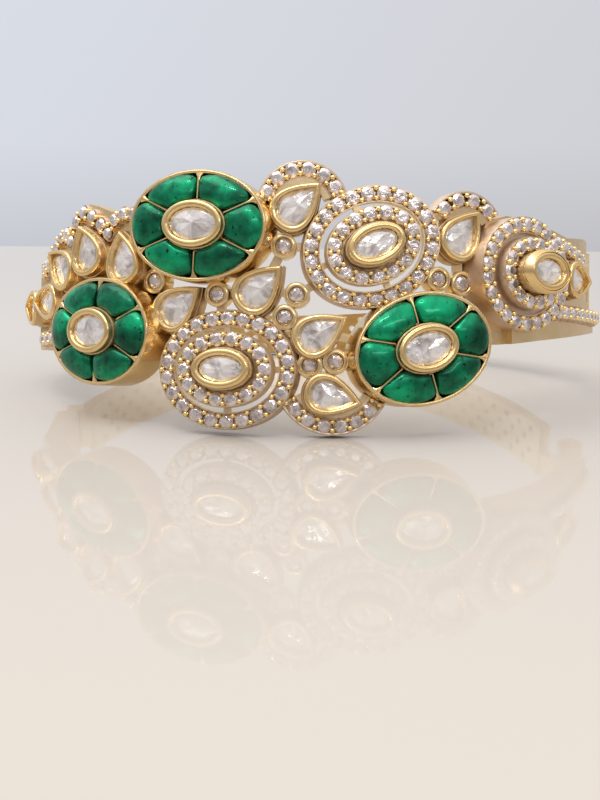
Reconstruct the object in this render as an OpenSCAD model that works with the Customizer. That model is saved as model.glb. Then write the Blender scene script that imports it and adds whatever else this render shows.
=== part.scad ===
// Openable meenakari kada: an oval hinged bangle with domed green glass flowers,
// pave halos and flat cut stones in gold settings. It lies on its side, as it rests
// on a table: floor at Z = 0, ornament towards -Y. Millimetres.

/* [Band] */
// Inner half width of the oval, side to side
inner_a = 30.5; // [29:0.1:32]
// Depth of the front half, from the widest place to the front
inner_b = 29; // [28:0.1:30.4]
// Inner radius of the back half
back_r = 30.2; // [30:0.1:30.4]
// Thickness of the back band
back_t = 1.5; // [1.3:0.1:1.6]
// Width of the holes pierced in the back band
pierce_d = 0.8; // [0.6:0.05:0.85]

/* [Stones] */
// Diameter of a pave stone
pave_d = 1.2; // [1:0.05:1.25]
// Clearance between a stone and its metal
seat_gap = 0.05; // [0.03:0.01:0.08]

/* [Green flowers] */
// Half length of a green flower
flower_a = 7.2; // [7:0.1:7.3]
// Half height of a green flower
flower_b = 5.5; // [5.3:0.1:5.6]
// Height of its rim over the inside of the band
flower_rim = 3.9; // [3.6:0.1:4.2]
// Rise of the glass domes over the rim
dome_rise = 0.9; // [0.5:0.1:1.1]

/* [Halos] */
// Half length of a halo
halo_a = 7; // [6.9:0.1:7.1]
// Half height of a halo
halo_b = 5.9; // [5.8:0.05:6]
// Width of the pierced gap between ring and disc
halo_gap = 0.5; // [0.4:0.05:0.55]

/* [Hinge and clasp] */
// Hinge pin radius
pin_r = 0.6; // [0.5:0.05:0.7]
// Running clearance round the pin
pin_gap = 0.05; // [0.03:0.01:0.08]
// Hinge barrel radius
barrel_r = 1.5; // [1.4:0.05:1.6]
// Clearance round the clasp tongue
tongue_gap = 0.3; // [0.25:0.05:0.35]

/* [Hidden] */

// The front half is a flat arc up to the seam turn, with a tangent arc at each end.
seam_turn = asin(0.28);
arc_step = (inner_a - inner_b) / (cos(seam_turn) + sin(seam_turn) - 1);
end_r = inner_a - arc_step * sin(seam_turn);
front_r = inner_b + arc_step * cos(seam_turn);
// The back half is one arc about this place, and its edges slope and taper to the back.
back_y = -11.2;
back_end = 20.5;
function edge_low(x, y) = -6.32 + 0.027 * x - 0.037 * (y - back_end);
function edge_top(x, y) = -1.49 + 0.032 * x - 0.113 * (y - back_end);

// Resting pose: the ornament hangs lower than the back band, so the bangle tilts.
front_drop = 16.78;
front_back_y = 28.3;
tilt = 12.036;
rest_z = front_drop * cos(tilt) - front_back_y * sin(tilt);
centre_x = -0.65;
centre_y = -7.7;

// Turns round the band, from the front (0) to the right (+) and the left (-).
hinge_turn = 84;
clasp_turn = -91;
hinge_out = 0.8;
knuckle_h = 4.2;
knuckle_half = 1.35;
knuckle_gap = 0.15;
pin_head_r = 0.95;
pin_head_t = 0.3;
tongue_t = 0.9;
tongue_half_h = 1.8;
tongue_h = -2.8;
tongue_x = -30.3;
tongue_y = [-5.5, 2.8];
box_x = [-31.65, -29.1];
box_y = [-7.5, 1];
box_z = [-6, 2.2];
lip_start = 36;
lip_end = 73;

// Settings as [turn, height, spin, half length, half height] on the band: spin turns
// a setting in its own plane.
at_flower_left = [-38.4, -6.7, -4, flower_a, flower_b];
at_flower_top = [-17.4, 3.4, -3, flower_a, flower_b];
at_flower_right = [16.3, -8.45, 17, flower_a, flower_b];
at_halo_left = [-13, -10.65, 0, halo_a, halo_b];
at_halo_right = [8.8, 1.5, 23, halo_a, halo_b];
at_halo_side = [38.3, -0.4, 0, halo_a - 0.6, halo_b - 0.05];
halo_floor = 1.4;
halo_disc_floor = 2;
side_bezel_lift = 0.8;

// Pears as [turn, height, spin of the tip, length, width, base height, turn of the face].
pears = [
    [-2.4, 5.5, 44, 6.2, 4.6, 0.4],
    [-21.9, -4.3, 36, 6.1, 4.6, 0.4],
    [-8, -2.6, 44, 6.2, 4.6, 0.4],
    [1.2, -7, 32, 6.1, 4.4, 0.4],
    [3.1, -13.2, -14, 6.1, 4.3, 0.4],
    [24.8, 3.2, 54, 6.1, 4.6, 0.4],
    [-33.6, 0.7, 97, 5.8, 4.6, 1],
    [-44.5, 1.9, 109, 5.8, 4.7, 1, 7],
    [-53.3, 0.6, 143, 6, 4.5, 1, 3],
    [-60.9, -2.9, 176, 6, 4.2, 1, 7],
    [-76.6, -2.9, 173, 6, 4.3, 1, 10.5],
    [58.8, -0.1, 0, 5.2, 4.3, 1, -7.5]];
pear_names = ["pear_top", "pear_high_left", "pear_centre", "pear_mid", "pear_low",
    "pear_high_right", "pear_arm_1", "pear_arm_2", "pear_arm_3", "pear_arm_4",
    "pear_arm_5", "pear_end"];
// Steps of a pear setting: collar, rim and stone top over the setting's base.
pear_collar = 1.5;
pear_rim = 2.4;
pear_rim_w = 0.62;
pear_stone_z = 1.75;

// Round settings as [turn, height].
rounds = [[-4.6, 1.5], [-2.5, -3.3], [-4.3, -5.5], [-0.4, -10.2], [3.5, -9.8],
    [-14.9, -3.2], [-27.6, -1.7], [20.3, -1.4], [25.2, -1.7]];
round_r = 1.25;
round_stone_r = 0.78;
round_top = 2.1;

// Pave crests round three pears: [turn, height, arc radius, first angle, step, stones].
crests = [
    [-1.8, 5.4, 3.65, 157, -25.2, 6],
    [3.2, -11.2, 4.9, 222, 19, 6],
    [26.4, 3.1, 3.65, 134.9, -29, 4]];
crest_half_w = 0.9;
crest_z = 1.8;

// Thin walls and levels of the settings.
floor_z = 0.4;
wall_t = 0.32;
step = 0.35;
link_w = 0.8;
link_z = 1.1;
link_bite = 0.6;

function arc_c(a) = abs(a) <= seam_turn ? [0, front_r - inner_b] : [sign(a) * (inner_a - end_r), 0];
function arc_r(a) = abs(a) <= seam_turn ? front_r : end_r;
// Point on the front half at a turn, pushed out by some distance.
function on_oval(a, out) = arc_c(a) + (arc_r(a) + out) * [sin(a), -cos(a)];
// A point of a setting's own frame in the bangle's frame.
function facing(s) = s[0] + (len(s) > 6 ? s[6] : 0);
function placed(s, p) = let (c = cos(s[2]), k = sin(s[2]), f = facing(s),
    o = on_oval(s[0], 0) + p.z * [sin(f), -cos(f)], x = p.x * c - p.y * k, y = p.x * k + p.y * c)
    [o.x + x * cos(f), o.y + x * sin(f), s[1] + y];

function oval(a, b, n = 28) = [for (i = [0:n - 1]) [a * cos(i * 360 / n), b * sin(i * 360 / n)]];
// A pear with its tip at +X. The curve is a circle squeezed towards the tip.
function pear(l, w, n = 20) = [for (i = [0:n - 1]) let (x = cos(i * 360 / n))
    [l / 2 * x, sign(sin(i * 360 / n)) * w / 2 / 0.77 * (1 - x) * sqrt((1 + x) / 2)]];

module rest_pose() {
    translate([-centre_x, -centre_y, rest_z]) rotate([-tilt, 0, 0]) children();
}

module on_band(s) {
    p = on_oval(s[0], 0);
    translate([p.x, p.y, s[1]]) rotate([90, 0, facing(s)]) rotate([0, 0, s[2]]) children();
}

// A stretch of wall on one arc, between two turns.
module arc_wall(centre, r, a0, a1, out0, out1, h0, h1) {
    translate([centre.x, centre.y, h0]) rotate([0, 0, a0 - 90])
        rotate_extrude(angle = a1 - a0, $fn = 128)
            translate([r + out0, 0]) square([out1 - out0, h1 - h0]);
}

module end_wall(a0, a1, out0, out1, h0, h1) {
    arc_wall(arc_c(a0), end_r, a0, a1, out0, out1, h0, h1);
}

// A flat outline pushed out through the band, seen straight on at one turn.
module outline_cut(turn, points) {
    on_band([turn, 0, 0]) translate([0, 0, -14]) linear_extrude(24) polygon(points);
}

module band_layer(z0, z1, outer, hole) {
    translate([0, 0, z0]) linear_extrude(z1 - z0) difference() {
        polygon(outer);
        polygon(hole);
    }
}

// How far a setting [turn, height, spin, half length, half height] reaches along an angle.
function reach(s, angle) = let (t = angle - s[2])
    s[3] * s[4] / sqrt(pow(s[4] * cos(t), 2) + pow(s[3] * sin(t), 2));

// A flower's wall is thin, so a bar bites less into it.
function bite(s) = s[3] == flower_a ? 0.26 : link_bite;
// A bar that bridges the space between two settings and bites into both.
module link(s0, s1) {
    a = placed([s0[0], s0[1], 0], [0, 0, link_z]);
    b = placed([s1[0], s1[1], 0], [0, 0, link_z]);
    d = b - a;
    angle = atan2(d.z, norm([d.x, d.y]) * sign(s1[0] - s0[0]));
    from = reach(s0, angle) - bite(s0);
    to = norm(d) - reach(s1, angle + 180) + bite(s1);
    translate(a) rotate([0, acos(d.z / norm(d)), atan2(d.y, d.x)])
        translate([-link_w / 2, -link_w / 2, from]) cube([link_w, link_w, to - from]);
}

// Gold of an oval stone's bezel: a collar, a rim and a pocket for the stone.
module oval_bezel(a, b, z0, collar_z, top_z) {
    difference() {
        union() {
            translate([0, 0, z0]) linear_extrude(collar_z - z0) polygon(oval(a, b, 20));
            translate([0, 0, z0]) linear_extrude(top_z - z0) polygon(oval(a - 0.25, b - 0.25, 20));
        }
        translate([0, 0, collar_z - step]) linear_extrude(3) polygon(oval(a - 0.7, b - 0.7, 20));
    }
}

module flower_setting() {
    difference() {
        translate([0, 0, floor_z]) linear_extrude(flower_rim - floor_z)
            polygon(oval(flower_a, flower_b));
        translate([0, 0, floor_z + 0.8]) linear_extrude(flower_rim)
            polygon(oval(flower_a - wall_t, flower_b - wall_t));
    }
    for (i = [0:5]) let (t = 90 + 60 * i, x = flower_a * cos(t), y = flower_b * sin(t))
        rotate([0, 0, atan2(y, x)]) translate([2.2, -wall_t / 2, floor_z + 0.4])
            cube([norm([x, y]) - 2.2 - wall_t / 2, wall_t, flower_rim - floor_z - 0.55]);
    oval_bezel(3.3, 2.45, floor_z + 0.5, flower_rim + 0.7, flower_rim + 1.4);
}

module halo_setting(lift, a = halo_a, b = halo_b, bezel_a = 3.05, bezel_lift = 0) {
    ring_top = 2.4 + lift;
    disc_top = 3.5 + lift;
    half_w = pave_d / 2 + seat_gap + 0.03;
    rw = 1.65;
    open = lift == 0;
    // ring with a groove for its stones, hollow behind so that light passes the gap
    difference() {
        band_layer(floor_z, ring_top, oval(a, b), oval(a - rw, b - rw));
        band_layer(ring_top - 0.6, ring_top + 1, oval(a - rw / 2 + half_w, b - rw / 2 + half_w),
            oval(a - rw / 2 - half_w, b - rw / 2 - half_w));
        if (open) translate([0, 0, floor_z - 1]) linear_extrude(halo_floor - floor_z + 1)
            polygon(oval(a - 0.55, b - 0.55));
    }
    // disc
    da = a - rw - halo_gap;
    db = b - rw - halo_gap;
    low = open ? halo_disc_floor : floor_z;
    difference() {
        translate([0, 0, low]) linear_extrude(disc_top - low) polygon(oval(da, db));
        translate([0, 0, disc_top - 0.6]) linear_extrude(1) polygon(oval(da - 0.16, db - 0.16));
    }
    oval_bezel(bezel_a, 2.1, disc_top - 1, disc_top + 0.7 + bezel_lift, disc_top + 1.4 + bezel_lift);
    // bridges across the gap
    z0 = open ? halo_floor + 0.1 : floor_z;
    z1 = open ? ring_top - 0.1 : ring_top - 1;
    for (t = [0:90:270]) rotate([0, 0, t])
        translate([(t % 180 == 0 ? da : db) - 0.3, -0.3, z0]) cube([1, 0.6, z1 - z0]);
}

// Room that neighbours keep out of: the hollow of a flower and the seat of a round stone.
module flower_room(s) {
    on_band(s) translate([0, 0, floor_z + 0.8]) linear_extrude(8)
        polygon(oval(flower_a - wall_t, flower_b - wall_t));
}

module round_room(p) {
    on_band([p[0], p[1], 0]) translate([0, 0, round_top - 0.7])
        cylinder(h = 4, r = round_stone_r + seat_gap, $fn = 32);
}

module pear_setting(p) {
    z = p[5];
    low = z < 0.9 ? floor_z : 0.85;
    on_band(p) {
        inner = pear(p[3] - 2 * pear_rim_w * 1.15, p[4] - 2 * pear_rim_w);
        difference() {
            union() {
                translate([0, 0, low]) linear_extrude(z + pear_collar - low)
                    polygon(pear(p[3], p[4]));
                translate([0, 0, low]) linear_extrude(z + pear_rim - low)
                    polygon(pear(p[3] - 0.4, p[4] - 0.35));
            }
            translate([0, 0, z + pear_collar - 0.4]) linear_extrude(3) polygon(inner);
        }
    }
}

module round_setting(p) {
    on_band([p[0], p[1], 0]) difference() {
        translate([0, 0, floor_z]) cylinder(h = round_top - floor_z, r = round_r, $fn = 32);
        translate([0, 0, round_top - 0.7])
            cylinder(h = 1, r = round_stone_r + seat_gap, $fn = 32);
    }
}

module crest_setting(c) {
    half = crest_half_w;
    groove = pave_d / 2 + seat_gap;
    last = c[3] + c[4] * (c[5] - 1);
    a0 = min(c[3], last) - 14;
    sweep = abs(last - c[3]) + 28;
    on_band([c[0], c[1], 0]) rotate([0, 0, a0]) difference() {
        translate([0, 0, floor_z]) rotate_extrude(angle = sweep, $fn = 64)
            translate([c[2] - half - 0.6, 0]) square([2 * half + 0.6, crest_z - floor_z]);
        translate([0, 0, crest_z - 0.6]) rotate([0, 0, 3])
            rotate_extrude(angle = sweep - 6, $fn = 64)
                translate([c[2] - groove, 0]) square([2 * groove, 1]);
    }
}

// Curved plate under the fan of pears on the left arm, with its pave row.
left_mid = -62;
left_top = [[-17.2, 3.4], [-11, 2], [-6, 1.9], [-2.6, 2.6], [-0.9, 3.4], [0.7, 4.2], [2.3, 5],
    [3.9, 5.3], [5, 5.1], [6.1, 6.3], [7.6, 7.1], [9.2, 6.7], [11, 6], [12.8, 5.6], [14.1, 6.2],
    [15.6, 6.1], [16.2, 2]];
left_low = [[16.2, -8.2], [-4.8, -7.9], [-7, -5.6], [-17.2, -4.2]];
// Block of the right arm.
right_mid = 55;
right_top = [[-13.5, 1], [-12.5, 4.8], [-10, 5.6], [-6, 5.4], [1.1, 4.5], [5.6, 5], [8.4, 5.3],
    [12.6, 5.4], [16.4, 5.2]];
right_low = [[16.4, -4.5], [6, -5.6], [-6, -7], [-10.5, -7.6], [-12.6, -6], [-13.5, -2]];

module left_arm() {
    difference() {
        union() {
            intersection() {
                end_wall(clasp_turn + 10, -28, 0.2, 1.3, -9, 8);
                outline_cut(left_mid, concat(left_top, left_low));
            }
            clasp_box();
        }
        clasp_room();
    }
    // ledge of the pave row
    intersection() {
        end_wall(-73, -52, 0.6, 2.2, -7.9, -5.9);
        outline_cut(left_mid, concat(left_top, left_low));
    }
}

module right_arm() {
    intersection() {
        end_wall(27, hinge_turn - 4, 0.2, 1.8, -9, 8);
        outline_cut(right_mid, concat(right_top, right_low));
    }
    // lip under the pave rows
    intersection() {
        end_wall(lip_start, lip_end, 1.4, 2.7, -9, -3.15);
        outline_cut(right_mid, concat(right_top, right_low));
    }
}

module hinge_place() {
    p = on_oval(hinge_turn, hinge_out);
    translate([p.x, p.y, 0]) rotate([0, 0, hinge_turn]) children();
}

module hinge_knuckles() {
    k0 = knuckle_half + knuckle_gap;
    for (s = [0, 1]) mirror([0, 0, s]) hinge_place() difference() {
        translate([0, 0, k0]) union() {
            cylinder(h = knuckle_h - k0, r = barrel_r, $fn = 48);
            translate([-3, -1.2, 0]) cube([3, 2.4, knuckle_h - k0]);
        }
        cylinder(h = 20, r = pin_r + 0.02, $fn = 32);
    }
}

// Box on the left arm with an open mouth towards the back half.
module clasp_room() {
    w = tongue_t / 2 + tongue_gap;
    h = tongue_half_h + tongue_gap;
    translate([tongue_x - w, tongue_y[0] - 0.8, tongue_h - h])
        cube([2 * w, box_y[1] - tongue_y[0] + 2, 2 * h]);
}

module clasp_box() {
    translate([box_x[0], box_y[0], box_z[0]])
        cube([box_x[1] - box_x[0], box_y[1] - box_y[0], box_z[1] - box_z[0]]);
}

module front_frame() {
    color("goldenrod") rest_pose() {
        for (s = [at_flower_left, at_flower_top, at_flower_right]) on_band(s) flower_setting();
        for (s = [at_halo_left, at_halo_right]) on_band(s) halo_setting(0);
        on_band(at_halo_side) halo_setting(1.1, halo_a - 0.6, halo_b - 0.05, 2.85, side_bezel_lift);
        for (i = [0:len(pears) - 1])
            if (i == 1 || i == 6) difference() {
                pear_setting(pears[i]);
                flower_room(at_flower_left);
            }
            else if (i == 3) difference() {
                pear_setting(pears[i]);
                round_room(rounds[3]);
            }
            else pear_setting(pears[i]);
        for (p = rounds) round_setting(p);
        difference() {
            crest_setting(crests[0]);
            flower_room(at_flower_top);
        }
        for (i = [1:2]) crest_setting(crests[i]);
        for (l = links) link(l[0], l[1]);
        left_arm();
        right_arm();
        hinge_knuckles();
    }
}

// Short bars that join neighbouring settings.
function round_at(i) = [rounds[i][0], rounds[i][1], 0, round_r, round_r];
function pear_at(i) = let (p = pears[i]) [p[0], p[1], p[2], p[3] / 2 - 0.5, p[4] / 2 - 0.2];
links = [
    [round_at(0), pear_at(0)], [round_at(0), at_flower_top], [round_at(0), at_halo_right],
    [round_at(0), pear_at(2)], [round_at(1), pear_at(2)], [round_at(1), at_halo_right],
    [round_at(1), round_at(2)], [round_at(2), pear_at(3)], [round_at(2), at_halo_left],
    [round_at(3), pear_at(3)], [round_at(3), round_at(4)], [round_at(3), pear_at(4)],
    [round_at(4), at_flower_right], [round_at(4), pear_at(3)], [round_at(5), at_flower_top],
    [round_at(5), at_halo_left], [round_at(5), pear_at(2)], [round_at(6), at_flower_top],
    [round_at(6), pear_at(1)], [round_at(6), pear_at(6)], [round_at(7), at_halo_right],
    [round_at(7), at_flower_right], [round_at(7), round_at(8)], [round_at(8), pear_at(5)],
    [round_at(8), at_halo_side], [pear_at(3), at_flower_right], [pear_at(1), at_flower_left],
    [pear_at(1), at_halo_left]];

back_turns = [112, 244.5];

module pierced_holes() {
    rows = 4;
    columns = 28;
    first = back_turns[0] + 4;
    last = back_turns[1] - 4;
    for (i = [0:columns - 1], j = [0:rows - 1])
        let (t = first + (i + (j % 2) / 2) * (last - first) / (columns - 0.5),
            x = back_r * sin(t), y = back_y - back_r * cos(t), f = (j + 0.75) / (rows + 0.5))
            translate([0, back_y, edge_low(x, y) + f * (edge_top(x, y) - edge_low(x, y))])
                rotate([90, 0, t]) translate([0, 0, back_r - 1]) cylinder(h = 4, r = pierce_d / 2, $fn = 8);
}

// Room between the sloping edges of the back half.
module back_wedge() {
    c = [[-40, -40], [40, -40], [40, 40], [-40, 40]];
    polyhedron(concat([for (p = c) [p.x, p.y, edge_low(p.x, p.y)]],
        [for (p = c) [p.x, p.y, edge_top(p.x, p.y)]]),
        [[0, 1, 2, 3], [7, 6, 5, 4], [0, 4, 5, 1], [1, 5, 6, 2], [2, 6, 7, 3], [3, 7, 4, 0]]);
}

module back_band() {
    color("gold") rest_pose() {
        difference() {
            intersection() {
                arc_wall([0, back_y], back_r, back_turns[0], back_turns[1], 0, back_t, -9, 8);
                back_wedge();
            }
            pierced_holes();
        }
        // hinge knuckle and the web to the band
        p = on_oval(hinge_turn, hinge_out);
        start = [0, back_y] + (back_r + back_t / 2) * [sin(back_turns[0] + 1), -cos(back_turns[0] + 1)];
        d = start - p;
        translate([p.x, p.y, 0]) rotate([0, 0, atan2(d.y, d.x)]) difference() {
            translate([0, 0, -knuckle_half]) union() {
                cylinder(h = 2 * knuckle_half, r = barrel_r, $fn = 48);
                translate([0, -0.65, 0]) cube([norm(d), 1.3, 2 * knuckle_half]);
            }
            translate([0, 0, -5]) cylinder(h = 10, r = pin_r + pin_gap, $fn = 32);
        }
        // clasp tongue and the end of the band it stands on
        translate([tongue_x - tongue_t / 2, tongue_y[0], tongue_h - tongue_half_h])
            cube([tongue_t, tongue_y[1] - tongue_y[0], 2 * tongue_half_h]);
        translate([tongue_x - tongue_t / 2, box_y[1] + 0.5, -5.8]) cube([2.9, 1.8, 5]);
    }
}

module hinge_pin() {
    h = knuckle_h + 0.05;
    color("darkgoldenrod") rest_pose() hinge_place() {
        translate([0, 0, -h]) cylinder(h = 2 * h, r = pin_r, $fn = 32);
        for (s = [0, 1]) mirror([0, 0, s])
            translate([0, 0, h]) cylinder(h = pin_head_t, r = pin_head_r, $fn = 32);
    }
}

// One domed petal of glass between the bezel and the rim of a flower.
petal_u = 7;
petal_v = 5;
function petal_point(t, f, z) = let (
    a = 3.3 + seat_gap + f * (flower_a - wall_t - 2 * seat_gap - 3.3),
    b = 2.45 + seat_gap + f * (flower_b - wall_t - 2 * seat_gap - 2.45))
    [a * cos(t), b * sin(t), z];
// Share of the dome's height across the petal, from 0 to 1 along each way.
function dome(u, f) = pow(sin(180 * min(max(u, 0), 1)), 0.35) * pow(sin(180 * min(max(f, 0), 1)), 0.45);

module petal(s, i) {
    low = floor_z + 0.95;
    edge = flower_rim - 0.25;
    t0 = 90 + 60 * (i - 1);
    nu = petal_u;
    nv = petal_v;
    // the spokes have an even width, so the ends keep clear of them by a length
    function t_at(u, f) = let (r = 2.45 + f * (flower_b - 2.45), m = (wall_t / 2 + seat_gap + 0.06) / r * 57.3)
        t0 + m + u * (60 - 2 * m);
    top = [for (i = [0:nu], j = [0:nv]) let (u = i / nu, f = j / nv)
        petal_point(t_at(u, f), f, edge + (dome_rise + 0.25) * dome(u, f))];
    bottom = [for (i = [0:nu], j = [0:nv]) let (u = i / nu, f = j / nv)
        petal_point(t_at(u, f), f, low)];
    pts = [for (p = concat(top, bottom)) placed(s, p)];
    n = len(top);
    function id(i, j) = i * (nv + 1) + j;
    faces = concat(
        [for (i = [0:nu - 1], j = [0:nv - 1]) each [
            [id(i, j), id(i + 1, j), id(i + 1, j + 1)], [id(i, j), id(i + 1, j + 1), id(i, j + 1)]]],
        [for (i = [0:nu - 1], j = [0:nv - 1]) each [
            [n + id(i, j), n + id(i + 1, j + 1), n + id(i + 1, j)],
            [n + id(i, j), n + id(i, j + 1), n + id(i + 1, j + 1)]]],
        [for (i = [0:nu - 1]) each [
            [id(i, 0), n + id(i, 0), n + id(i + 1, 0)], [id(i, 0), n + id(i + 1, 0), id(i + 1, 0)],
            [id(i, nv), id(i + 1, nv), n + id(i + 1, nv)], [id(i, nv), n + id(i + 1, nv), n + id(i, nv)]]],
        [for (j = [0:nv - 1]) each [
            [id(0, j), id(0, j + 1), n + id(0, j + 1)], [id(0, j), n + id(0, j + 1), n + id(0, j)],
            [id(nu, j), n + id(nu, j), n + id(nu, j + 1)], [id(nu, j), n + id(nu, j + 1), id(nu, j + 1)]]]);
    color("seagreen") rest_pose() polyhedron(pts, faces);
}

// Flat cut stones: an outline with a table, a crown and a flat back.
// Each stone is [setting, centre, outline, height of crown, depth].
crown_share = 0.66;
back_share = 0.8;
module cut_stones(stones) {
    n = [for (s = stones) len(s[2])];
    first = [for (i = 0, k = 0; i < len(stones); k = k + 3 * n[i], i = i + 1) k];
    pts = [for (s = stones) each concat(
        [for (p = s[2]) placed(s[0], s[1] + [p.x * crown_share, p.y * crown_share, s[3]])],
        [for (p = s[2]) placed(s[0], s[1] + [p.x, p.y, 0])],
        [for (p = s[2]) placed(s[0], s[1] + [p.x * back_share, p.y * back_share, -s[4]])])];
    faces = [for (i = [0:len(stones) - 1]) let (k = first[i], m = n[i]) each concat(
        [[for (j = [m - 1:-1:0]) k + j]],
        [for (j = [0:m - 1], r = [0, 1]) let (j2 = (j + 1) % m, q = k + r * m)
            [q + j, q + j2, q + m + j2, q + m + j]],
        [[for (j = [0:m - 1]) k + 2 * m + j]])];
    polyhedron(pts, faces);
}

function round_outline(r, n = 8) = [for (i = [0:n - 1]) r * [cos(i * 360 / n), sin(i * 360 / n)]];
pave_outline = round_outline(pave_d / 2);
// A pave stone on a metal face at height z.
function pave(s, x, y, z) = [s, [x, y, z + 0.02], pave_outline, 0.3, 0.5];

function halo_stones(s, lift, a, b) = concat(
    [for (i = [0:21]) let (t = (i + 0.5) * 360 / 22, u = spaced(t, a - 0.825, b - 0.825))
        pave(s, (a - 0.825) * cos(u), (b - 0.825) * sin(u), 2.4 + lift)],
    [for (i = [0:13]) let (t = i * 360 / 14, pa = a - 1.65 - halo_gap - 0.8 + lift / 9,
        pb = b - 1.65 - halo_gap - 0.8, u = spaced(t, pa, pb))
        pave(s, pa * cos(u), pb * sin(u), 3.5 + lift)]);
// Even spacing along an ellipse, to first order.
function spaced(t, a, b) = t + (a - b) / (a + b) * 57.3 * sin(2 * t) / 2;

module oval_stone(s, a, b, z) {
    color("white") rest_pose() cut_stones([[s, [0, 0, z], oval(a, b, 12), 0.35, 0.4]]);
}

module pear_stone(i) {
    p = pears[i];
    l = p[3] - 2 * pear_rim_w * 1.15 - 2 * seat_gap * 1.6;
    w = p[4] - 2 * pear_rim_w - 2 * seat_gap;
    color("white") rest_pose()
        cut_stones([[p, [0, 0, p[5] + pear_stone_z], pear(l, w, 14), 0.35, 0.5]]);
}

module round_stones() {
    color("white") rest_pose() cut_stones([for (p = rounds)
        [[p[0], p[1], 0], [0, 0, round_top - 0.15], round_outline(round_stone_r, 10), 0.3, 0.5]]);
}

module pave_halo(s, lift, a, b) {
    color("whitesmoke") rest_pose() cut_stones(halo_stones(s, lift, a, b));
}

module pave_crests() {
    color("whitesmoke") rest_pose() cut_stones([for (c = crests, i = [0:c[5] - 1])
        let (t = c[3] + i * c[4])
            pave([c[0], c[1], 0], c[2] * cos(t), c[2] * sin(t), crest_z)]);
}

// Rows of pave on the arms: [turn, height] of each stone on a metal face.
left_rows = concat(
    [for (i = [0:3]) [-54.8 - i * 3.05, -6.9]],
    [[-33.3, 5.3], [-35.8, 5.4], [-38.2, 4.9], [-40.1, 3.6], [-42.3, 4.6], [-45.2, 5.6],
     [-48.2, 6.2], [-50.9, 5.4], [-53.2, 3.4], [-55, 4.3], [-57.8, 4.1], [-60.8, 3.3],
     [-63.6, 2.4], [-66.6, 1.6], [-69.8, 1.3], [-73, 1]]);
right_top_row = [for (i = [0:5]) [51.2 + i * 2.7, 3.6 - 0.25 * i]];
right_low_row = [for (i = [0:8]) [48.8 + i * 2.7, -3.9 + 0.02 * i]];

module pave_left_arm() {
    color("whitesmoke") rest_pose() cut_stones([for (i = [0:len(left_rows) - 1])
        pave([left_rows[i][0], left_rows[i][1], 0], 0, 0, i < 4 ? 2.75 : 1.85)]);
}

module pave_right_arm() {
    color("whitesmoke") rest_pose() cut_stones(concat(
        [for (p = right_top_row) pave([p[0], p[1], 0], 0, 0, 2.35)],
        [for (p = right_low_row) pave([p[0], p[1], 0], 0, 0, 3.25)]));
}

stone_z = flower_rim + 0.95;
halo_stone_z = 4.45;

front_frame();
back_band();
hinge_pin();
for (i = [1:6]) {
    petal(at_flower_left, i);
    petal(at_flower_top, i);
    petal(at_flower_right, i);
}
oval_stone(at_flower_left, 2.5, 1.65, stone_z);  // stone_green_left
oval_stone(at_flower_top, 2.5, 1.65, stone_z);  // stone_green_top
oval_stone(at_flower_right, 2.5, 1.65, stone_z);  // stone_green_right
oval_stone(at_halo_left, 2.25, 1.3, halo_stone_z);  // stone_halo_left
oval_stone(at_halo_right, 2.25, 1.3, halo_stone_z);  // stone_halo_right
oval_stone(at_halo_side, 2.05, 1.3, halo_stone_z + 1.1 + side_bezel_lift);  // stone_halo_side
for (i = [0:len(pears) - 1])
    pear_stone(i);
round_stones();
pave_halo(at_halo_left, 0, halo_a, halo_b);  // pave_halo_left
pave_halo(at_halo_right, 0, halo_a, halo_b);  // pave_halo_right
pave_halo(at_halo_side, 1.1, halo_a - 0.6, halo_b - 0.05);  // pave_halo_side
pave_crests();
pave_left_arm();
pave_right_arm();
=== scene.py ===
# Looks of an openable meenakari kada: domed green glass flowers, pave halos and flat
# cut stones in gold settings. Sizes are in millimetres here and become metres in mesh().
import math
from collections import namedtuple

import bmesh
import bpy
from mathutils import Matrix, Vector


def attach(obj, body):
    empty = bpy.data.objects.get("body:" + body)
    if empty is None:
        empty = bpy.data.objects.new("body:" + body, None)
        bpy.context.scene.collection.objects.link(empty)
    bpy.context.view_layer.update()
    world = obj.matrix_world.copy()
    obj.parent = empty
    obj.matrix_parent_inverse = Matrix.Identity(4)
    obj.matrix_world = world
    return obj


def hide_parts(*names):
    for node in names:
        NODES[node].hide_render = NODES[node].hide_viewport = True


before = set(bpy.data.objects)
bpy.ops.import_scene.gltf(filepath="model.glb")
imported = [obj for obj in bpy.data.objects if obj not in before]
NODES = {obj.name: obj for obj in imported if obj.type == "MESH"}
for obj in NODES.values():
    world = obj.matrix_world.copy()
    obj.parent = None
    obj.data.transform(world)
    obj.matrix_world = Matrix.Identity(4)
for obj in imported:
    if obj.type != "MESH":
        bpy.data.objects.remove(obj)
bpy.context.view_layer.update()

# Band, as in the part's source: inner half width and depth, and the radii of the front half's
# arcs, which meet at the turn SEAM
INNER_A, INNER_B = 30.5, 29.0
SEAM = math.asin(0.28)
ARC_STEP = (INNER_A - INNER_B) / (math.cos(SEAM) + math.sin(SEAM) - 1)
END_R = INNER_A - ARC_STEP * math.sin(SEAM)
FRONT_R = INNER_B + ARC_STEP * math.cos(SEAM)
MM_PER_DEGREE = 0.53

# Resting pose: the ornament hangs lower than the back band, so the bangle tilts
FRONT_DROP, FRONT_BACK_Y = 16.78, 28.3
TILT = math.radians(12.036)
REST_Z = FRONT_DROP * math.cos(TILT) - FRONT_BACK_Y * math.sin(TILT)
CENTRE_X, CENTRE_Y = -0.65, -7.7

# A setting's place: turn round the band, height, spin in its own plane, turn of its face;
# its walls start a little way out of the band
Setting = namedtuple("Setting", "turn height spin face", defaults=(0, 0))
SOLE = 0.38

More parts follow.
